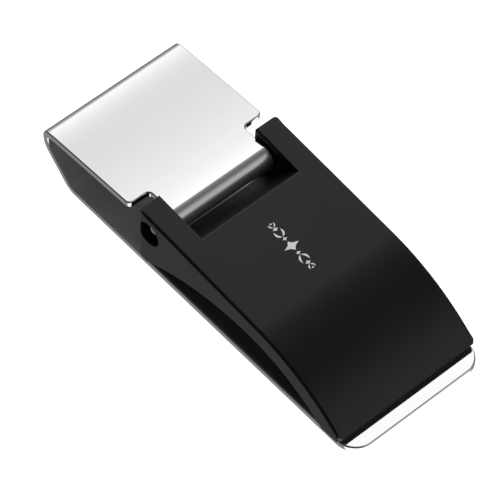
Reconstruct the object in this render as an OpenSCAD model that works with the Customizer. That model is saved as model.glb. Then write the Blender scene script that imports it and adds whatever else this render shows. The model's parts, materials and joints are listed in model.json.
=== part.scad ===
// Hinged money clip. One strip of polished spring steel is folded back over
// itself and its narrowed end is rolled round a rivet. A black lever swings
// on that rivet and clamps folded notes against the back plate.
// The origin is at the middle of the resting face. +X runs from the fold to
// the free tip, and +Z runs from the back plate to the lever.

/* [Spring strip] */
// Overall length, from the fold to the free tip
clip_length = 57.9; // [56:0.1:62]
// Width of the strip
strip_w = 22; // [20:0.5:26]
// Thickness of the sheet
sheet_t = 1; // [0.8:0.05:1.1]
// Angle between the back plate and the slanted wall
slant_angle = 44; // [38:1:50]
// Inside radius of the bend where the slanted wall leaves the back plate
foot_bend_r = 2; // [1:0.1:3]
// Inside radius of the gentle bend that brings the slanted wall upright
wall_bend_r = 2.6; // [2:0.1:3]
// Inside radius of the tight fold at the closed end
fold_r = 0.3; // [0.2:0.05:0.5]
// Height at which the gentle bend passes into the fold
fold_height = 6.54; // [6.4:0.02:6.8]
// Width of the tongue that carries the rolled knuckle
tongue_w = 15.5; // [12:0.5:15.5]
// Corner radius at the free tip
tip_corner_r = 3; // [1:0.5:8]
// Corner radius of the square shoulders beside the tongue
shoulder_corner_r = 0.8; // [0.3:0.1:1.5]
// Fillet radius where a shoulder meets the tongue
tongue_fillet_r = 0.6; // [0.2:0.1:1]

/* [Hinge] */
// Distance from the fold's outer face to the hinge axis
hinge_x = 20.5; // [18:0.1:21.5]
// Height of the hinge axis above the resting face
hinge_height = 7.2; // [7.1:0.02:7.6]
// Distance from the hinge axis back to the shoulders
shoulder_reach = 4; // [3.9:0.1:5]
// Angle of open seam left between the rolled end and the tongue
seam_angle = 70; // [65:1:90]
// Diameter of the rivet's shank
rivet_d = 1.7; // [1.4:0.05:1.8]
// Radial clearance of the shank in the rolled knuckle
knuckle_clearance = 0.05; // [0.02:0.01:0.1]
// Depth that reaming takes off the inside of the rolled knuckle
reaming = 0.03; // [0.02:0.01:0.05]
// Radial clearance of the shank in the lever's ears
ear_clearance = 0.02; // [0.01:0.01:0.05]
// Diameter of the rivet's domed heads
head_d = 2.6; // [2.2:0.1:3]
// Height of each domed head
head_h = 0.8; // [0.5:0.05:1]
// Diameter of the counterbores in the lever's sides
counterbore_d = 3.6; // [3.2:0.1:3.7]
// Depth of each counterbore
counterbore_h = 1.4; // [1:0.1:1.8]

/* [Clamp lever] */
// Width of the lever
lever_w = 22.6; // [21:0.1:26]
// Distance from the hinge axis to the end face of the ears
ear_end = 2; // [1.95:0.05:2.2]
// Distance from the hinge axis to the flat part of the top face
top_offset = 2.97; // [2.8:0.01:3.05]
// Fall of the flat part of the top face towards the tip, in degrees
top_fall = 4.6; // [3:0.1:6]
// Distance from the hinge axis to the crown of the arched underside
crown_reach = 17.6; // [16:0.1:18.5]
// Radius of the curved front of the top face
front_r = 26.5; // [25:0.5:28]
// Thickness of the curved front, from the crown to the tip
front_t = 2.8; // [2.2:0.1:3]
// Radius of the arched underside between the crown and the foot
arch_r = 36; // [34:1:40]
// Radius of the rounded foot about the hinge axis
foot_r = 6; // [5.7:0.05:6.05]
// Distance from the hinge axis to the outer edge of the tip
tip_reach = 35.3; // [34:0.1:35.5]
// Gap left between the closed tip and the back plate
tip_gap = 0.05; // [0.02:0.01:0.2]
// Plan radius of the tip's corners
lever_corner_r = 0.9; // [0.3:0.1:2]
// Width of the slot between the ears
slot_w = 15.8; // [15.7:0.1:16.2]
// Distance from the hinge axis to the slot's upright end wall
slot_reach = 0.3; // [0.3:0.1:1]
// Distance from the hinge axis to the slot's end on the top face
ramp_reach = 6; // [5:0.1:7]
// Height of the ramp's lower edge below the hinge axis
ramp_drop = 3.65; // [3.4:0.05:3.8]

/* [Hidden] */
$fn = 96;

// Cutters overshoot the faces that they cut by this much.
over = 1;
// Overlap that is too small to see.
hair = 0.01;
// Reach of a cutter that is larger than the whole clip.
far = 200;
// Turn of each short side that stands for a bend in the sheet, in degrees.
bend_step = 6;

fold_outer_r = fold_r + sheet_t;
wall_bend_outer_r = wall_bend_r + sheet_t;
foot_bend_outer_r = foot_bend_r + sheet_t;
knuckle_bore_r = rivet_d / 2 + knuckle_clearance;
// The knuckle is rolled a little tight, and then reamed to its bore.
knuckle_r = knuckle_bore_r - reaming + sheet_t;

// Side-view centres of the bends, with x from the fold's outer face.
fold_c = [fold_outer_r, fold_height];
wall_c = [wall_bend_outer_r, fold_height];
foot_c = [
    wall_c.x + (foot_bend_outer_r - wall_bend_outer_r
        + (fold_height - foot_bend_outer_r) * cos(slant_angle)) / sin(slant_angle),
    foot_bend_outer_r
];
hinge_c = [hinge_x, hinge_height];

// Directions of the outer faces' normals, as angles in the side view. The
// top plate is tangent to both the fold and the knuckle.
down_normal = 270;
slant_normal = down_normal - slant_angle;
end_normal = 180;
top_normal = 90 + atan2(hinge_c.y - fold_c.y, hinge_c.x - fold_c.x)
    - asin((fold_outer_r - knuckle_r) / norm(hinge_c - fold_c));

shoulder_x = hinge_x - shoulder_reach;
shoulder_w = (strip_w - tongue_w) / 2;

// The lever's front and underside share one centre, below the crown.
front_c = [
    hinge_x + crown_reach,
    hinge_c.y + (top_offset - front_r - crown_reach * sin(top_fall)) / cos(top_fall)
];
arch_c = [front_c.x, front_c.y + front_r - front_t - arch_r];
tip_x = hinge_x + tip_reach;
tip_angle = acos((tip_x - front_c.x) / front_r);
ear_x = hinge_x - ear_end;
tip_seat = sheet_t + tip_gap;

counterbore_floor = lever_w / 2 - counterbore_h;

// Point at a distance and an angle from a centre, in the side view.
function polar(centre, r, angle) = centre + r * [cos(angle), sin(angle)];

// Height of the lever's flat top face above a side-view x.
function top_face(x) = hinge_c.y + (top_offset - (x - hinge_x) * sin(top_fall)) / cos(top_fall);

// Points along an arc, from one angle to another.
function arc(centre, r, from, to) =
    let (steps = ceil(abs(to - from) / bend_step))
    [for (i = [0:steps]) polar(centre, r, from + (to - from) * i / steps)];

// All the points but the first, for an arc that carries on from another.
function after_first(points) = [for (i = [1:len(points) - 1]) points[i]];

// Solid of a side-view outline, across the clip's width.
module across(width) {
    translate([-clip_length / 2, 0, 0])
        rotate([90, 0, 0])
            linear_extrude(width, center = true)
                children();
}

// Cutter of a plan outline, from one height to another, on both sides.
module both_sides(from, to) {
    for (side = [0, 1])
        translate([-clip_length / 2, 0, from])
            mirror([0, side, 0])
                linear_extrude(to - from)
                    children();
}

// What a rounded corner of radius r loses. The corner is at the origin, and
// the kept material is on its -X and -Y sides.
module corner_waste(r) {
    difference() {
        translate([-r, -r])
            square(r + over);
        translate([-r, -r])
            circle(r);
    }
}

// Side view of the whole strip: its outer face from the free tip to the end
// of the roll, and then its inner face back to the tip.
module strip_profile() {
    roll_end = top_normal - 360 + seam_angle;
    difference() {
        polygon(concat(
            [[clip_length, 0]],
            arc(foot_c, foot_bend_outer_r, down_normal, slant_normal),
            arc(wall_c, wall_bend_outer_r, slant_normal, end_normal),
            after_first(arc(fold_c, fold_outer_r, end_normal, top_normal)),
            arc(hinge_c, knuckle_r, top_normal, roll_end),
            [hinge_c],
            [polar(hinge_c, knuckle_r - sheet_t, top_normal)],
            arc(fold_c, fold_r, top_normal, end_normal),
            after_first(arc(wall_c, wall_bend_r, end_normal, slant_normal)),
            arc(foot_c, foot_bend_r, slant_normal, down_normal),
            [[clip_length, sheet_t]]
        ));
        translate(hinge_c)
            circle(knuckle_bore_r);
    }
}

// Plan view of what one shoulder loses beside the tongue.
module shoulder_waste() {
    difference() {
        translate([shoulder_x, tongue_w / 2])
            square([hinge_x, shoulder_w + over]);
        translate([shoulder_x, tongue_w / 2])
            rotate(180)
                corner_waste(tongue_fillet_r);
    }
    translate([shoulder_x, strip_w / 2])
        corner_waste(shoulder_corner_r);
}

module spring_strip() {
    color("gainsboro")
        difference() {
            across(strip_w)
                strip_profile();
            both_sides(sheet_t + over, far)
                shoulder_waste();
            both_sides(-over, sheet_t + over)
                translate([clip_length, strip_w / 2])
                    corner_waste(tip_corner_r);
        }
}

// Side view of the lever with its foot, arch and curved front. The flat top
// face ends a hair inside the curved one, so that the two cross cleanly.
module lever_profile() {
    crown_end = polar(front_c, front_r - hair, 90 - top_fall);
    difference() {
        union() {
            intersection() {
                translate(front_c)
                    circle(front_r);
                translate([front_c.x, tip_seat])
                    square([tip_x - front_c.x, front_r]);
            }
            polygon([
                [ear_x, tip_seat],
                [front_c.x, tip_seat],
                crown_end,
                [ear_x, top_face(ear_x)]
            ]);
        }
        under_arch();
        foot_waste();
        tip_waste();
    }
}

// Everything below the lever's underside.
module under_arch() {
    intersection() {
        translate(front_c)
            circle(front_r - front_t);
        translate([front_c.x - hair, -over])
            square([front_r, front_r]);
    }
    intersection() {
        translate(arch_c)
            circle(arch_r);
        translate([hinge_x, -over])
            square([crown_reach, front_r]);
    }
}

// Everything in front of the tip's end face, which lies along a radius of
// the curved front.
module tip_waste() {
    polygon([
        front_c,
        front_c + [2 * front_r, 0],
        polar(front_c, 2 * front_r, tip_angle)
    ]);
}

// Everything below the hinge that is outside the rounded foot.
module foot_waste() {
    difference() {
        translate([ear_x - over, -over])
            square([ear_end + 2 * over, hinge_c.y]);
        translate(hinge_c)
            circle(foot_r);
    }
}

// Side view of the slot between the ears, with the ramp at its end.
module slot_profile() {
    ramp_x = hinge_x + ramp_reach;
    polygon([
        [ear_x - over, -over],
        [hinge_x + slot_reach, -over],
        [hinge_x + slot_reach, hinge_c.y - ramp_drop],
        [ramp_x, top_face(ramp_x)],
        [ramp_x, top_face(ramp_x) + over],
        [ear_x - over, top_face(ear_x) + over]
    ]);
}

module clamp_lever() {
    color([0.13, 0.13, 0.14])
        difference() {
            across(lever_w)
                lever_profile();
            across(slot_w)
                slot_profile();
            across(lever_w + over)
                translate(hinge_c)
                    circle(rivet_d / 2 + ear_clearance);
            for (side = [-1, 1])
                translate([0, side * (counterbore_floor + lever_w / 2), 0])
                    across(lever_w)
                        translate(hinge_c)
                            circle(counterbore_d / 2);
            both_sides(0, far)
                translate([tip_x, lever_w / 2])
                    corner_waste(lever_corner_r);
        }
}

// Domed head, standing on the counterbore's floor, in the rivet's own frame.
module rivet_head() {
    dome_r = (pow(head_d / 2, 2) + pow(head_h, 2)) / (2 * head_h);
    intersection() {
        translate([0, 0, head_h - dome_r])
            sphere(dome_r);
        cylinder(h = head_h + over, d = head_d + over);
    }
}

module hinge_rivet() {
    color("silver")
        translate([hinge_x - clip_length / 2, 0, hinge_c.y])
            rotate([90, 0, 0]) {
                cylinder(h = 2 * counterbore_floor, d = rivet_d, center = true);
                for (side = [0, 1])
                    mirror([0, 0, side])
                        translate([0, 0, counterbore_floor])
                            rivet_head();
            }
}

spring_strip();
clamp_lever();
hinge_rivet();
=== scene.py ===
"""Hinged money clip: the finished look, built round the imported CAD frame.

Outlines are worked in millimetres, with x from the fold's outer face towards
the free tip and z from the resting face, and become metres in the frame's
own axes when a mesh is made.
"""

import bisect
import json
import math

import bmesh
import bpy
from mathutils import Matrix, Vector
from mathutils.geometry import interpolate_bezier


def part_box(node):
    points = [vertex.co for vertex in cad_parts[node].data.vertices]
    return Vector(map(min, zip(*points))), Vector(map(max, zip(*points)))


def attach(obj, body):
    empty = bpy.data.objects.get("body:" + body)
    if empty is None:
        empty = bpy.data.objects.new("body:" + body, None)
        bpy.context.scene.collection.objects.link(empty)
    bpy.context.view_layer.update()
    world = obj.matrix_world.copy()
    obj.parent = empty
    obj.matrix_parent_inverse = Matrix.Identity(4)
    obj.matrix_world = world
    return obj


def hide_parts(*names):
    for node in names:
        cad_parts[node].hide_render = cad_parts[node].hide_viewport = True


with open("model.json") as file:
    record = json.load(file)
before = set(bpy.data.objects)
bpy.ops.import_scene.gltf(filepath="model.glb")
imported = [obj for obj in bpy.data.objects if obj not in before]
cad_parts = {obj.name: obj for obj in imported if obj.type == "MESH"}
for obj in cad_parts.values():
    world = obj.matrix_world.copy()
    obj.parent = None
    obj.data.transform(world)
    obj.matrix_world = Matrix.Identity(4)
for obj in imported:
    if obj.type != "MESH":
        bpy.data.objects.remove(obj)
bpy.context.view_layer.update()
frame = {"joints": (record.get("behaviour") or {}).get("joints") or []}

MM = 0.001

# ---------------------------------------------------------------- sizes (mm)

STRIP_LOW, STRIP_HIGH = (corner / MM for corner in map(Vector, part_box("spring_strip")))
LEVER_LOW, LEVER_HIGH = (corner / MM for corner in map(Vector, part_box("clamp_lever")))
RIVET_LOW, RIVET_HIGH = (corner / MM for corner in map(Vector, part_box("hinge_rivet")))

CLIP_LENGTH = STRIP_HIGH.x - STRIP_LOW.x
STRIP_W = STRIP_HIGH.y - STRIP_LOW.y
LEVER_W = LEVER_HIGH.y - LEVER_LOW.y
SHEET = 1.0

# The hinge axis, from the joint that the record declares.
HINGE = Vector(frame["joints"][0]["pos_m"]) / MM
HINGE_C = Vector((HINGE.x - STRIP_LOW.x, HINGE.z))

FOLD_R = 0.3
FOLD_C = Vector((FOLD_R + SHEET, 6.54))
WALL_R = 2.6
WALL_C = Vector((WALL_R + SHEET, FOLD_C.y))
FOOT_R = 2.0
SLANT = math.radians(44)
FOOT_C = Vector((
    WALL_C.x + (FOOT_R - WALL_R + (WALL_C.y - FOOT_R - SHEET) * math.cos(SLANT)) / math.sin(SLANT),
    FOOT_R + SHEET,
))
ROLL_R = 0.87
SEAM = math.radians(70)
TONGUE_W = 15.5
SHOULDER_X = HINGE_C.x - 4.0
TIP_CORNER = 3.0
SHOULDER_CORNER = 0.8
TONGUE_FILLET = 0.6
STRIP_EDGE = 0.2
FOLD_EASE = math.radians(5.5)
FOLD_EASE_REACH = 2.0
ROLL_EASE = math.radians(6)
ROLL_EASE_REACH = 0.8
# The mirror finish of the back plate runs this far under the lever's tip.
TIP_OVERLAP = 2.0
# The strip's finishes, in the order of its materials.
MIRROR, SATIN, WORN = range(3)

TOP_FALL = math.radians(4.6)
TOP_OFFSET = 2.97
FRONT_R = 26.5
FRONT_T = 2.8
ARCH_R = 36.0
CROWN_REACH = 17.6
FRONT_C = Vector((
    HINGE_C.x + CROWN_REACH,
    HINGE_C.y + (TOP_OFFSET - FRONT_R - CROWN_REACH * math.sin(TOP_FALL)) / math.cos(TOP_FALL),
))
ARCH_C = Vector((FRONT_C.x, FRONT_C.y + FRONT_R - FRONT_T - ARCH_R))
FOOT_RIM_R = 6.0
EAR_X = LEVER_LOW.x - STRIP_LOW.x
TIP_X = LEVER_HIGH.x - STRIP_LOW.x
TIP_SEAT = SHEET + 0.05
SLOT_W = 15.8
SLOT_X = HINGE_C.x + 0.3
RAMP_X = HINGE_C.x + 6.0
RAMP_LOW = HINGE_C.y - 3.65
LEVER_CORNER = 0.9
EAR_CORNER = 0.8
LEVER_EDGE = 0.42
SMALL_EDGE = 0.15
CORNER_SOFT = 0.22
RIM_BLEND = 1.5
SLOT_EDGE = 0.25
RIM_EDGE = 0.06
COUNTERBORE_R = 1.8
COUNTERBORE_FLOOR = LEVER_W / 2 - 1.4
# The lever's finishes, in the order of its materials.
COATING, RECESS = range(2)
# Where the middle of the engraving is.
ENGRAVING_X = 34.05
# How far a cutting tool reaches past what it cuts.
OVER = 1.0

SHANK_R = 0.85
HEAD_R = (RIVET_HIGH.z - RIVET_LOW.z) / 2
HEAD_TOP = RIVET_HIGH.y
EAR_BORE_R = SHANK_R + 0.02

# ------------------------------------------------------------ shape helpers


def polar(centre, radius, angle):
    """Point in the side view, at a distance and an angle from a centre."""
    return centre + radius * Vector((math.cos(angle), math.sin(angle)))


def arc(centre, radius, start, end, step=math.radians(2)):
    """Points along an arc, both ends included."""
    count = max(2, math.ceil(abs(end - start) / step))
    return [polar(centre, radius, start + (end - start) * i / count) for i in range(count + 1)]


def to_frame(x, y, z):
    """Millimetres from the fold's outer face, as metres in the row frame."""
    return Vector(((x + STRIP_LOW.x) * MM, y * MM, z * MM))


def top_face(x):
    """Height of the lever's flat top face at x."""
    return HINGE_C.y + (TOP_OFFSET - (x - HINGE_C.x) * math.sin(TOP_FALL)) / math.cos(TOP_FALL)


def new_object(name, bm):
    """Object with the bmesh's geometry, with outward normals."""
    bmesh.ops.recalc_face_normals(bm, faces=bm.faces)
    mesh = bpy.data.meshes.new(name)
    bm.to_mesh(mesh)
    bm.free()
    obj = bpy.data.objects.new(name, mesh)
    bpy.context.scene.collection.objects.link(obj)
    return obj


def pushed_out(corners, push):
    """Cutting tool: the flat face between the corners, pushed out by a vector."""
    bm = bmesh.new()
    face = bm.faces.new([bm.verts.new(corner) for corner in corners])
    pushed = bmesh.ops.extrude_face_region(bm, geom=[face])["geom"]
    moved = [item for item in pushed if isinstance(item, bmesh.types.BMVert)]
    bmesh.ops.translate(bm, verts=moved, vec=push)
    return new_object("tool", bm)


def across(outline, low_y, high_y):
    """Side-view outline, carried across the clip from one y to another."""
    corners = [to_frame(p.x, low_y, p.y) for p in outline]
    return pushed_out(corners, (0, (high_y - low_y) * MM, 0))


def upward(outline, low_z, high_z):
    """Plan outline of (x, y) points, carried up from one z to another."""
    corners = [to_frame(p.x, p.y, low_z) for p in outline]
    return pushed_out(corners, (0, 0, (high_z - low_z) * MM))


def evaluated_mesh(obj):
    """The mesh of an object with its modifiers applied."""
    graph = bpy.context.evaluated_depsgraph_get()
    return bpy.data.meshes.new_from_object(obj.evaluated_get(graph))


def cut(target, tool):
    """Takes the tool's shape out of target, and deletes the tool."""
    modifier = target.modifiers.new("cut", "BOOLEAN")
    modifier.operation = "DIFFERENCE"
    modifier.solver = "EXACT"
    modifier.object = tool
    result = evaluated_mesh(target)
    target.modifiers.clear()
    target.data = result
    bpy.data.objects.remove(tool)


def smooth(obj, sharp_degrees=30):
    """Smooth shading that keeps flat faces flat beside their rounded edges."""
    mesh = obj.data
    mesh.shade_smooth()
    mesh.set_sharp_from_angle(angle=math.radians(sharp_degrees))
    weighted = obj.modifiers.new("flat faces", "WEIGHTED_NORMAL")
    weighted.keep_sharp = True


# ------------------------------------------------------------------ the strip


def strip_path():
    """The strip's side view as stretches of (length, step, place), from the tip on.

    place(s) gives the middle of the sheet and its outward normal, s mm along
    the stretch, measured on the sheet's middle line. The sheet is creased
    every step mm of it.
    """
    half = SHEET / 2
    down = math.radians(270)
    slant = down - SLANT
    upright = math.radians(180)
    between = HINGE_C - FOLD_C
    top = math.radians(90) + math.atan2(between.y, between.x) - math.asin((FOLD_R - ROLL_R) / between.length)
    roll_end = top - math.radians(360) + SEAM
    # The sheet eases out of the fold, and into the roll.
    fold_end = top + FOLD_EASE
    roll_start = top - ROLL_EASE

    def straight(start, end, normal_angle):
        normal = polar(Vector((0, 0)), 1, normal_angle)
        along = (end - start).normalized()
        return (end - start).length, 1.0, lambda s: (start + along * s, normal)

    def bend(centre, inner, start, end):
        radius = inner + half
        turn = (end - start) / abs(end - start)

        def place(s):
            angle = start + turn * s / radius
            return polar(centre, radius, angle), polar(Vector((0, 0)), 1, angle)

        return abs(end - start) * radius, 0.08, place

    def eased(start, start_angle, end, end_angle):
        """Gentle curve between two bends, through closely spaced points."""
        lead = start + FOLD_EASE_REACH * Vector((math.sin(start_angle), -math.cos(start_angle)))
        trail = end - ROLL_EASE_REACH * Vector((math.sin(end_angle), -math.cos(end_angle)))
        points = interpolate_bezier(start, lead, trail, end, 160)
        reached = [0.0]
        for a, b in zip(points, points[1:]):
            reached.append(reached[-1] + (b - a).length)

        def place(s):
            i = min(max(bisect.bisect(reached, s), 1), len(points) - 1)
            share = (s - reached[i - 1]) / (reached[i] - reached[i - 1])
            before = points[min(i + 1, len(points) - 1)] - points[i - 1]
            after = points[i] - points[max(i - 2, 0)]
            along = after.lerp(before, share).normalized()
            return points[i - 1].lerp(points[i], share), Vector((-along.y, along.x))

        return reached[-1], 0.25, place

    return [
        straight(Vector((CLIP_LENGTH, half)), Vector((FOOT_C.x, half)), down),
        bend(FOOT_C, FOOT_R, down, slant),
        straight(polar(FOOT_C, FOOT_R + half, slant), polar(WALL_C, WALL_R + half, slant), slant),
        bend(WALL_C, WALL_R, slant, upright),
        bend(FOLD_C, FOLD_R, upright, fold_end),
        eased(
            polar(FOLD_C, FOLD_R + half, fold_end), fold_end,
            polar(HINGE_C, ROLL_R + half, roll_start), roll_start,
        ),
        bend(HINGE_C, ROLL_R, roll_start, roll_end),
    ]


# Which stretch of the strip's path is the top plate.
TOP_PLATE = 5


def strip_outline(path):
    """Half of the flat pattern, as (s, w) points from the tip to the roll."""
    lengths = [length for length, _, _ in path]
    before_top = sum(lengths[:TOP_PLATE])
    start = path[TOP_PLATE][2](0)[0]
    end = path[TOP_PLATE][2](lengths[TOP_PLATE])[0]
    shoulder = before_top + (SHOULDER_X - start.x) / (end.x - start.x) * lengths[TOP_PLATE]
    half_w = STRIP_W / 2
    half_tongue = TONGUE_W / 2
    quarter = math.radians(90)
    fine = math.radians(7.5)
    points = arc(Vector((TIP_CORNER, half_w - TIP_CORNER)), TIP_CORNER, 2 * quarter, quarter, fine)
    outer = Vector((shoulder - SHOULDER_CORNER, half_w - SHOULDER_CORNER))
    points += arc(outer, SHOULDER_CORNER, quarter, 0, fine)
    inner = Vector((shoulder + TONGUE_FILLET, half_tongue + TONGUE_FILLET))
    points += arc(inner, TONGUE_FILLET, 2 * quarter, 3 * quarter, fine)
    points.append(Vector((sum(lengths), half_tongue)))
    return points


def bend_stations(path):
    """Values of s where the flat pattern is creased so that it can bend."""
    stations = []
    reached = 0.0
    for length, step, _ in path:
        count = math.ceil(length / step)
        stations += [reached + length * i / count for i in range(count)]
        reached += length
    return stations[1:]


def place_on(path, s, w, depth):
    """Point of the strip at s along it, w across it, depth below its outer face."""
    for length, _, place in path:
        if s <= length or path[-1][2] is place:
            break
        s -= length
    middle, normal = place(s)
    point = middle + normal * (SHEET / 2 - depth)
    return to_frame(point.x, w, point.y)


def make_strip():
    """Polished strip: its flat pattern, rounded at the rim, then bent."""
    path = strip_path()
    half = strip_outline(path)
    outline = half + [Vector((p.x, -p.y)) for p in reversed(half)]
    bm = bmesh.new()
    face = bm.faces.new([bm.verts.new((p.x, p.y, 0)) for p in outline])
    for s in bend_stations(path):
        everything = list(bm.verts) + list(bm.edges) + list(bm.faces)
        bmesh.ops.bisect_plane(bm, geom=everything, plane_co=(s, 0, 0), plane_no=(1, 0, 0), dist=1e-4)
    outer = list(bm.faces)
    pushed = bmesh.ops.extrude_face_region(bm, geom=outer, use_keep_orig=True)["geom"]
    moved = [item for item in pushed if isinstance(item, bmesh.types.BMVert)]
    bmesh.ops.translate(bm, verts=moved, vec=(0, 0, SHEET))
    bmesh.ops.recalc_face_normals(bm, faces=bm.faces)
    rim = [edge for edge in bm.edges if len(edge.link_faces) == 2 and edge.calc_face_angle() > 1]
    bmesh.ops.bevel(
        bm, geom=rim, offset=STRIP_EDGE, offset_type="OFFSET", segments=4,
        profile=0.5, affect="EDGES", clamp_overlap=False,
    )
    inside_start = CLIP_LENGTH - TIP_X + TIP_OVERLAP
    before_roll = sum(length for length, _, _ in path[:-1])
    for face in bm.faces:
        middle = face.calc_center_median()
        if middle.x > before_roll:
            face.material_index = WORN
        elif middle.z > SHEET - 0.01 and middle.x > inside_start:
            face.material_index = SATIN
    for vert in bm.verts:
        vert.co = place_on(path, *vert.co)
    obj = new_object("polished_strip", bm)
    smooth(obj)
    return obj


# ------------------------------------------------------------------ the lever


def rounded(before, corner, after, radius):
    """Arc of a radius in the corner between two neighbouring points."""
    # The handles are those of a quarter circle, scaled for a smaller turn.
    to_before = (before - corner).normalized()
    to_after = (after - corner).normalized()
    half_angle = to_before.angle(to_after) / 2
    reach = radius / math.tan(half_angle)
    handle = 0.55 * math.tan((math.pi / 2 - half_angle) / 2) / math.tan(math.pi / 8) * radius
    start = corner + to_before * reach
    end = corner + to_after * reach
    return interpolate_bezier(start, start - to_before * handle, end - to_after * handle, end, 6)


def lever_side():
    """Side view of the lever, as its points underneath and its points on top."""
    quarter = math.radians(90)
    between = HINGE_C - ARCH_C
    reach = between.length
    # Where the rounded foot meets the arch, as an angle about the hinge.
    cos_meet = (FOOT_RIM_R ** 2 + reach ** 2 - ARCH_R ** 2) / (2 * FOOT_RIM_R * reach)
    meet = math.atan2(-between.y, -between.x) - math.acos(cos_meet)
    meet_point = polar(HINGE_C, FOOT_RIM_R, meet)
    arch_start = math.atan2(*reversed(meet_point - ARCH_C))
    foot_start = -math.acos((EAR_X - HINGE_C.x) / FOOT_RIM_R)
    under_end = math.asin((TIP_SEAT - FRONT_C.y) / (FRONT_R - FRONT_T))
    tip_angle = math.acos((TIP_X - FRONT_C.x) / FRONT_R)
    tip_low = (TIP_SEAT - FRONT_C.y) / math.sin(tip_angle)
    under = arc(HINGE_C, FOOT_RIM_R, foot_start, meet)
    under += arc(ARCH_C, ARCH_R, arch_start, quarter, math.radians(1.5))[1:]
    under += arc(FRONT_C, FRONT_R - FRONT_T, quarter, under_end, math.radians(1.5))[1:]
    under.append(polar(FRONT_C, tip_low, tip_angle))
    top = arc(FRONT_C, FRONT_R, tip_angle, quarter - TOP_FALL, math.radians(1))
    top += [Vector((EAR_X + ahead, top_face(EAR_X + ahead))) for ahead in (2, 1.5, 1, 0.5, 0)]
    return under, top


def lever_outline():
    """The lever's side view as (point, radius) pairs, with the rim's radius there."""
    under, top = lever_side()
    outline = [(point, SMALL_EDGE) for point in under]
    for point in top:
        from_corner = min((point - top[0]).length, (point - top[-1]).length)
        share = min(1, from_corner / RIM_BLEND)
        outline.append((point, SMALL_EDGE + (LEVER_EDGE - SMALL_EDGE) * share))
    softened = []
    for i, (point, radius) in enumerate(outline):
        before = outline[i - 1][0]
        after = outline[(i + 1) % len(outline)][0]
        turn = (point - before).angle(after - point)
        if turn < math.radians(10):
            softened.append((point, radius))
        else:
            softened += [(p, SMALL_EDGE) for p in rounded(before, point, after, CORNER_SOFT)]
    return softened


def loft_across(name, outline, half):
    """Carries (point, radius) pairs across the clip, with both rims rounded."""
    inward = []
    for i, (point, _) in enumerate(outline):
        before = (point - outline[i - 1][0]).normalized()
        after = (outline[(i + 1) % len(outline)][0] - point).normalized()
        mitre = Vector((-before.y - after.y, before.x + after.x))
        inward.append(mitre / (1 + before.dot(after)))
    steps = 5
    turns = [math.radians(90) * i / steps for i in range(steps + 1)]
    rings = [(-1, turn) for turn in reversed(turns)] + [(1, turn) for turn in turns]
    bm = bmesh.new()
    made = []
    for side, turn in rings:
        ring = []
        for (point, radius), inset in zip(outline, inward):
            place = point + inset * radius * (1 - math.cos(turn))
            y = side * (half - radius * (1 - math.sin(turn)))
            ring.append(bm.verts.new(to_frame(place.x, y, place.y)))
        made.append(ring)
    for near, far in zip(made, made[1:]):
        for i in range(len(near)):
            j = (i + 1) % len(near)
            bm.faces.new([near[i], near[j], far[j], far[i]])
    bm.faces.new(made[0])
    bm.faces.new(made[-1])
    return new_object(name, bm)


def corner_waste(end_x, side, radius):
    """Plan view of what the lever loses at a rounded corner."""
    out_x = math.copysign(1, end_x - HINGE_C.x)
    edge_y = side * LEVER_W / 2
    centre = Vector((end_x - out_x * radius, edge_y - side * radius))
    angles = (0 if out_x > 0 else math.radians(180), side * math.radians(90))
    if out_x < 0 and side < 0:
        angles = (math.radians(180), math.radians(270))
    return arc(centre, radius, *angles, math.radians(7.5)) + [
        Vector((centre.x, edge_y + side * OVER)),
        Vector((end_x + out_x * OVER, edge_y + side * OVER)),
        Vector((end_x + out_x * OVER, centre.y)),
    ]


def slot_outline():
    """Side view of the slot between the ears, with the ramp at its end."""
    return [
        Vector((EAR_X - OVER, -OVER)),
        Vector((SLOT_X, -OVER)),
        Vector((SLOT_X, RAMP_LOW)),
        Vector((RAMP_X, top_face(RAMP_X))),
        Vector((RAMP_X, top_face(RAMP_X) + OVER)),
        Vector((EAR_X - OVER, top_face(EAR_X) + OVER)),
    ]


def disc(radius, sides):
    """Side-view circle about the hinge axis."""
    return arc(HINGE_C, radius, 0, math.radians(360 - 360 / sides), math.radians(360 / sides))


def soften(obj, roundings):
    """Rounds creases that booleans have cut, by (radius, test of an edge) pairs."""
    bm = bmesh.new()
    bm.from_mesh(obj.data)
    bmesh.ops.remove_doubles(bm, verts=bm.verts, dist=1e-7)
    flat = math.radians(0.05)
    bmesh.ops.dissolve_limit(bm, angle_limit=flat, verts=bm.verts, edges=bm.edges)
    for radius, chosen in roundings:
        bm.normal_update()
        creases = [
            edge for edge in bm.edges
            if len(edge.link_faces) == 2 and edge.calc_face_angle() > math.radians(30) and chosen(edge)
        ]
        bmesh.ops.bevel(
            bm, geom=creases, offset=radius * MM, offset_type="OFFSET", segments=3,
            profile=0.5, affect="EDGES", clamp_overlap=False,
        )
    bm.to_mesh(obj.data)
    bm.free()


def on_counterbore(edge):
    """Whether an edge is on a counterbore's rim, in the lever's side face."""
    hinge = Vector((HINGE.x, HINGE.z)) * MM
    reach = max((Vector((v.co.x, v.co.z)) - hinge).length for v in edge.verts)
    out = min(abs(v.co.y) for v in edge.verts)
    return reach < (COUNTERBORE_R + 0.05) * MM and out > (LEVER_W / 2 - 0.05) * MM


def on_slot(edge):
    """Whether an edge is one of the slot's in the lever's top face."""
    inside = max(abs(v.co.y) for v in edge.verts) < (SLOT_W / 2 + 0.01) * MM
    behind = max(v.co.x for v in edge.verts) < to_frame(RAMP_X + 0.01, 0, 0).x
    upper = min(v.co.z for v in edge.verts) > (top_face(RAMP_X) - 0.05) * MM
    return inside and behind and upper and any(face.normal.z > 0.9 for face in edge.link_faces)


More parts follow.
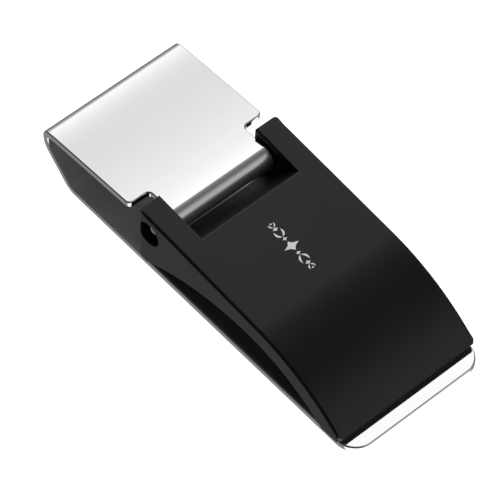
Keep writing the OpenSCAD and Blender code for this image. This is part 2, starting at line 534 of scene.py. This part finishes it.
def mark_ramp(obj):
    """Gives the sloping end of the slot the recess finish."""
    slack = 0.01
    least_slope = 0.3
    start = to_frame(SLOT_X - slack, 0, 0).x
    end = to_frame(RAMP_X + slack, 0, 0).x
    for face in obj.data.polygons:
        within = start < face.center.x < end and abs(face.center.y) < SLOT_W / 2 * MM
        if within and face.normal.x < -least_slope and face.normal.z > least_slope:
            face.material_index = RECESS


def make_lever():
    """Black lever: lofted across, with its corners, slot, bore and counterbores cut."""
    half = LEVER_W / 2
    obj = loft_across("black_lever", lever_outline(), half)
    for side in (-1, 1):
        for end_x, radius in ((EAR_X, EAR_CORNER), (TIP_X, LEVER_CORNER)):
            waste = corner_waste(end_x, side, radius)
            cut(obj, upward(waste, -OVER, LEVER_HIGH.z + OVER))
    cut(obj, across(slot_outline(), -SLOT_W / 2, SLOT_W / 2))
    cut(obj, across(disc(EAR_BORE_R, 48), -half - OVER, half + OVER))
    for side in (-1, 1):
        ends = sorted((side * COUNTERBORE_FLOOR, side * (half + OVER)))
        cut(obj, across(disc(COUNTERBORE_R, 72), *ends))
    soften(obj, [(SLOT_EDGE, on_slot), (RIM_EDGE, on_counterbore)])
    mark_ramp(obj)
    smooth(obj)
    return obj


# ------------------------------------------------------------------ the rivet


def rivet_profile():
    """Half section of the rivet as (distance from its axis, y), one end to the other."""
    head_h = HEAD_TOP - COUNTERBORE_FLOOR
    dome_r = (HEAD_R ** 2 + head_h ** 2) / (2 * head_h)
    steps = 14
    rise = math.asin(HEAD_R / dome_r)
    lip = 0.08
    dome = []
    for i in range(steps + 1):
        angle = rise * i / steps
        y = HEAD_TOP - dome_r + dome_r * math.cos(angle)
        dome.append((dome_r * math.sin(angle), max(y, COUNTERBORE_FLOOR + lip)))
    dome.append((HEAD_R, COUNTERBORE_FLOOR))
    dome.append((SHANK_R, COUNTERBORE_FLOOR))
    return dome + [(r, -y) for r, y in reversed(dome)]


def make_rivet():
    """Rivet: its half section turned about the hinge axis."""
    sides = 64
    bm = bmesh.new()
    rings = []
    for radius, y in rivet_profile():
        if radius == 0:
            rings.append([bm.verts.new(to_frame(HINGE_C.x, y, HINGE_C.y))])
            continue
        ring = []
        for point in disc(radius, sides):
            ring.append(bm.verts.new(to_frame(point.x, y, point.y)))
        rings.append(ring)
    for near, far in zip(rings, rings[1:]):
        for i in range(sides):
            j = (i + 1) % sides
            corners = [near[i % len(near)], near[j % len(near)], far[j % len(far)], far[i % len(far)]]
            bm.faces.new(list(dict.fromkeys(corners)))
    obj = new_object("domed_rivet", bm)
    smooth(obj, 40)
    return obj


# -------------------------------------------------------------- the engraving


def lozenge(u, v, length, height):
    """Diamond outline with slightly hollow sides."""
    hollow = 0.36
    ends = [(length / 2, 0), (0, height / 2), (-length / 2, 0), (0, -height / 2)]
    points = []
    for i, (a, b) in enumerate(ends):
        c, d = ends[(i + 1) % 4]
        points.append((u + a, v + b))
        points.append((u + (a + c) * hollow, v + (b + d) * hollow))
    return points


def leaf(u, v, length, width, turn):
    """Pointed leaf outline that starts at (u, v) and grows along turn."""
    steps = 8
    upper = []
    lower = []
    for i in range(steps + 1):
        t = i / steps
        half = width / 2 * math.sin(math.pi * t) ** 0.8
        bow = 0.16 * length * math.sin(math.pi * t)
        upper.append((length * t, bow + half))
        lower.append((length * t, bow - half))
    outline = upper + lower[-2:0:-1]
    cos_t, sin_t = math.cos(turn), math.sin(turn)
    return [(u + a * cos_t - b * sin_t, v + a * sin_t + b * cos_t) for a, b in outline]


def engraving_outlines():
    """A small symmetrical flourish of lozenges and leaves, as (u, v) outlines in mm."""
    outlines = [lozenge(0, 0, 1.5, 2.3)]
    for side in (-1, 1):
        outlines.append(lozenge(side * 1.25, 0, 0.55, 0.75))
        outlines.append(lozenge(side * 3.0, 0, 0.6, 0.9))
        outlines.append(lozenge(side * 3.9, 0, 0.34, 0.42))
        for lift in (-1, 1):
            sprig = leaf(1.6, 0.06, 1.25, 0.3, math.radians(24))
            outlines.append([(side * u, lift * v) for u, v in sprig])
            bud = leaf(3.3, 0.05, 0.75, 0.2, math.radians(30))
            outlines.append([(side * u, lift * v) for u, v in bud])
    return outlines


def make_engraving(centre_x):
    """Bright metal showing through the coating, as thin inlays in the top face."""
    proud = 0.012
    deep = 0.05
    cos_f, sin_f = math.cos(TOP_FALL), math.sin(TOP_FALL)
    centre = Vector((centre_x, top_face(centre_x)))

    def on_face(u, v, height):
        return to_frame(
            centre.x + u * cos_f + height * sin_f, v,
            centre.y - u * sin_f + height * cos_f,
        )

    bm = bmesh.new()
    for outline in engraving_outlines():
        top = [bm.verts.new(on_face(u, v, proud)) for u, v in outline]
        low = [bm.verts.new(on_face(u, v, -deep)) for u, v in outline]
        bm.faces.new(top)
        bm.faces.new(list(reversed(low)))
        for i in range(len(top)):
            j = (i + 1) % len(top)
            bm.faces.new([top[i], low[i], low[j], top[j]])
    return new_object("engraved_ornament", bm)


# ------------------------------------------------------------------ materials


def new_material(name, **values):
    """Material with a Principled shader, and the constants set on its sockets."""
    material = bpy.data.materials.new(name)
    material.use_nodes = True
    shader = material.node_tree.nodes["Principled BSDF"]
    for socket, value in values.items():
        shader.inputs[socket.replace("_", " ")].default_value = value
    return material, material.node_tree.nodes, material.node_tree.links, shader


def add_noise(nodes, links, scale, detail, stretch=(1, 1, 1)):
    """Noise in the object's own metres, stretched along its axes."""
    place = nodes.new("ShaderNodeTexCoord")
    mapping = nodes.new("ShaderNodeMapping")
    mapping.inputs["Scale"].default_value = stretch
    noise = nodes.new("ShaderNodeTexNoise")
    noise.inputs["Scale"].default_value = scale
    noise.inputs["Detail"].default_value = detail
    links.new(place.outputs["Object"], mapping.inputs["Vector"])
    links.new(mapping.outputs["Vector"], noise.inputs["Vector"])
    return noise


def add_ramp(nodes, links, source, given, wanted):
    """Maps a given (low, high) range of source to a wanted one, and stays inside it."""
    ramp = nodes.new("ShaderNodeMapRange")
    ramp.inputs["From Min"].default_value = given[0]
    ramp.inputs["From Max"].default_value = given[1]
    ramp.inputs["To Min"].default_value = wanted[0]
    ramp.inputs["To Max"].default_value = wanted[1]
    links.new(source, ramp.inputs["Value"])
    return ramp.outputs["Result"]


def add_tint(nodes, links, source, dark, light):
    """Colour between two greys, by a source between 0 and 1."""
    tint = nodes.new("ShaderNodeMix")
    tint.data_type = "RGBA"
    tint.inputs["A"].default_value = dark
    tint.inputs["B"].default_value = light
    links.new(source, tint.inputs["Factor"])
    return tint.outputs["Result"]


def add_bump(nodes, links, height, distance, strength):
    """Bump of a height between 0 and 1, distance metres tall."""
    bump = nodes.new("ShaderNodeBump")
    bump.inputs["Distance"].default_value = distance
    bump.inputs["Strength"].default_value = strength
    links.new(height, bump.inputs["Height"])
    return bump.outputs["Normal"]


def polished_steel(name, smoothest, roughest, metallic=1.0, lowest=None):
    """Stainless steel with faint hairlines along the strip, and smears.

    Below 1, metallic adds some dull, scattered light. With lowest, the finish
    gets rougher by that much from the middle of the hinge to its front.
    """
    material, nodes, links, shader = new_material(
        name, Metallic=metallic, Base_Color=(0.68, 0.68, 0.68, 1),
    )
    smears = add_noise(nodes, links, scale=260, detail=3)
    roughness = add_ramp(nodes, links, smears.outputs["Fac"], (0.35, 0.75), (smoothest, roughest))
    if lowest is not None:
        place = nodes.new("ShaderNodeTexCoord")
        parts = nodes.new("ShaderNodeSeparateXYZ")
        links.new(place.outputs["Object"], parts.inputs["Vector"])
        crown, front = HINGE.x * MM, (HINGE.x + ROLL_R + SHEET) * MM
        worn = add_ramp(nodes, links, parts.outputs["X"], (crown, front), (0, lowest))
        added = nodes.new("ShaderNodeMath")
        links.new(roughness, added.inputs[0])
        links.new(worn, added.inputs[1])
        roughness = added.outputs["Value"]
    links.new(roughness, shader.inputs["Roughness"])
    hairlines = add_noise(nodes, links, scale=900, stretch=(0.05, 3, 3), detail=6)
    normal = add_bump(nodes, links, hairlines.outputs["Fac"], distance=2e-6, strength=0.25)
    links.new(normal, shader.inputs["Normal"])
    return material


def black_coating(name, shine, smoothest, roughest):
    """Satin black coating with a fine powder grain."""
    material, nodes, links, shader = new_material(name, Specular_IOR_Level=shine)
    clouds = add_noise(nodes, links, scale=180, detail=3)
    dark, light = (0.0022, 0.0022, 0.0023, 1), (0.0040, 0.0040, 0.0041, 1)
    tint = add_tint(nodes, links, clouds.outputs["Fac"], dark, light)
    links.new(tint, shader.inputs["Base Color"])
    grain = add_noise(nodes, links, scale=9000, detail=2)
    roughness = add_ramp(nodes, links, clouds.outputs["Fac"], (0.3, 0.7), (smoothest, roughest))
    links.new(roughness, shader.inputs["Roughness"])
    normal = add_bump(nodes, links, grain.outputs["Fac"], distance=6e-6, strength=0.5)
    links.new(normal, shader.inputs["Normal"])
    return material


def rivet_steel():
    """Polished rivet, a little duller than the strip."""
    material, nodes, links, shader = new_material(
        "rivet_steel", Metallic=1.0, Base_Color=(0.5, 0.5, 0.51, 1),
    )
    marks = add_noise(nodes, links, scale=2500, detail=4)
    roughness = add_ramp(nodes, links, marks.outputs["Fac"], (0.3, 0.7), (0.12, 0.22))
    links.new(roughness, shader.inputs["Roughness"])
    normal = add_bump(nodes, links, marks.outputs["Fac"], distance=8e-6, strength=0.5)
    links.new(normal, shader.inputs["Normal"])
    return material


def engraved_metal():
    """Bright, finely frosted metal where the coating is cut away."""
    material, nodes, links, shader = new_material("engraved_metal", Metallic=1.0)
    frost = add_noise(nodes, links, scale=14000, detail=2)
    tint = add_tint(nodes, links, frost.outputs["Fac"], (0.75, 0.75, 0.75, 1), (1, 1, 1, 1))
    links.new(tint, shader.inputs["Base Color"])
    roughness = add_ramp(nodes, links, frost.outputs["Fac"], (0.3, 0.7), (0.4, 0.55))
    links.new(roughness, shader.inputs["Roughness"])
    return material


# ------------------------------------------------------------ studio and view


def make_floor():
    """Plain white floor, as bright as the paper of a product picture."""
    size = 3.0
    bm = bmesh.new()
    corners = [(-size, -size), (size, -size), (size, size), (-size, size)]
    bm.faces.new([bm.verts.new((x, y, 0)) for x, y in corners])
    floor = new_object("floor", bm)
    floor.location.z = -0.0001
    material = bpy.data.materials.new("white_floor")
    material.use_nodes = True
    shader = material.node_tree.nodes["Principled BSDF"]
    shader.inputs["Base Color"].default_value = (0.8, 0.8, 0.8, 1)
    shader.inputs["Roughness"].default_value = 0.9
    shader.inputs["Emission Color"].default_value = (1, 1, 1, 1)
    shader.inputs["Emission Strength"].default_value = 1.0
    floor.data.materials.append(material)
    floor.visible_glossy = False


def make_studio():
    """Soft panels hung round the clip, and a dim room and table beyond them.

    A direction is told by its turn, the angle from straight up towards the
    free tip, and by its lean, the angle towards the clip's far side.
    """
    world = bpy.data.worlds.new("studio")
    world.use_nodes = True
    bpy.context.scene.world = world
    nodes = world.node_tree.nodes
    links = world.node_tree.links
    background = nodes["Background"]
    background.inputs["Color"].default_value = (1, 1, 1, 1)

    def math_node(operation, *values):
        node = nodes.new("ShaderNodeMath")
        node.operation = operation
        for socket, value in zip(node.inputs, values):
            if isinstance(value, (int, float)):
                socket.default_value = value
            else:
                links.new(value, socket)
        return node.outputs["Value"]

    def fade(angle, centre, full, soft):
        """1 within full degrees of centre, and 0 from soft degrees further on."""
        away = math_node("ABSOLUTE", math_node("SUBTRACT", angle, centre))
        ramp = nodes.new("ShaderNodeMapRange")
        ramp.interpolation_type = "SMOOTHSTEP"
        ramp.inputs["From Min"].default_value = full + soft
        ramp.inputs["From Max"].default_value = full
        links.new(away, ramp.inputs["Value"])
        return ramp.outputs["Result"]

    place = nodes.new("ShaderNodeTexCoord")
    parts = nodes.new("ShaderNodeSeparateXYZ")
    links.new(place.outputs["Generated"], parts.inputs["Vector"])
    x, y, z = parts.outputs
    turn = math_node("DEGREES", math_node("ARCTAN2", x, z))
    lean = math_node("DEGREES", math_node("ARCSINE", y))
    total = STUDIO_BASE
    for turns, leans, strength in STUDIO_PANELS:
        panel = math_node("MULTIPLY", fade(turn, *turns), fade(lean, *leans))
        total = math_node("ADD", total, math_node("MULTIPLY", panel, strength))
    down = math_node("MULTIPLY", z, -1.0)
    table = TABLE_GLOW
    for turns, leans, strength in TABLE_PATCHES:
        patch = math_node("MULTIPLY", fade(turn, *turns), fade(lean, *leans))
        table = math_node("ADD", table, math_node("MULTIPLY", patch, strength))
    table = math_node("MULTIPLY", table, fade(down, 1.0, 0.3, 0.6))
    total = math_node("ADD", total, table)
    links.new(total, background.inputs["Strength"])


# Turn and lean of each panel, both as (centre, full, soft) in degrees, and its strength.
STUDIO_PANELS = [
    ((0, 60, 50), (30, 25, 20), 0.10),
    ((-52, 4, 62), (28, 18, 22), 0.525),
    ((-45, 1.5, 12), (28, 18, 22), 0.725),
    ((-27, 4.5, 7), (28, 18, 22), 0.925),
    ((59, 3, 40), (28, 18, 22), 0.575),
]
STUDIO_BASE = 0.06
# The same for the lighter patches of the table, and its glow everywhere.
TABLE_PATCHES = [
    ((140, 32, 10), (-5, 33, 10), 1.3),
    ((-153, 60, 60), (-30, 15, 20), 0.04),
]
TABLE_GLOW = 0.22


def make_camera():
    """Long lens from above the lever's near corner, turned a little."""
    azimuth, elevation, roll = (math.radians(a) for a in (45.0, 54.27, 4.0))
    distance = 0.5
    target = to_frame(28.163, -1.227, 3.0)
    back = Vector((
        math.sin(azimuth) * math.cos(elevation),
        -math.cos(azimuth) * math.cos(elevation),
        math.sin(elevation),
    ))
    right = Vector((math.cos(azimuth), math.sin(azimuth), 0))
    up = back.cross(right)
    turned_right = right * math.cos(roll) + up * math.sin(roll)
    turned_up = up * math.cos(roll) - right * math.sin(roll)
    camera = bpy.data.cameras.new("camera")
    camera.lens = 291.3
    camera.clip_start = 0.01
    holder = bpy.data.objects.new("camera", camera)
    bpy.context.scene.collection.objects.link(holder)
    turn = Matrix((turned_right, turned_up, back)).transposed().to_4x4()
    holder.matrix_world = Matrix.Translation(target + back * distance) @ turn
    bpy.context.scene.camera = holder


# --------------------------------------------------------------- the assembly


def add_piece(obj, materials, body, node=None):
    """Gives a piece its materials and its place in the frame's bodies."""
    for material in materials:
        obj.data.materials.append(material)
    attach(obj, body)
    if node:
        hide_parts(node)


strip_finishes = [
    polished_steel("mirror_steel", 0.035, 0.075),
    polished_steel("satin_steel", 0.3, 0.4, metallic=0.8),
    polished_steel("worn_steel", 0.05, 0.09, metallic=0.82, lowest=0.3),
]
add_piece(make_strip(), strip_finishes, "clip", "spring_strip")
lever_finishes = [
    black_coating("black_coating", 0.4, 0.30, 0.36),
    black_coating("recess_coating", 0.2, 0.50, 0.58),
]
add_piece(make_lever(), lever_finishes, "lever", "clamp_lever")
add_piece(make_rivet(), [rivet_steel()], "lever", "hinge_rivet")
add_piece(make_engraving(ENGRAVING_X), [engraved_metal()], "lever")

make_floor()
make_studio()
make_camera()
bpy.context.scene.view_settings.view_transform = "Standard"
bpy.context.scene.cycles.glossy_bounces = 12
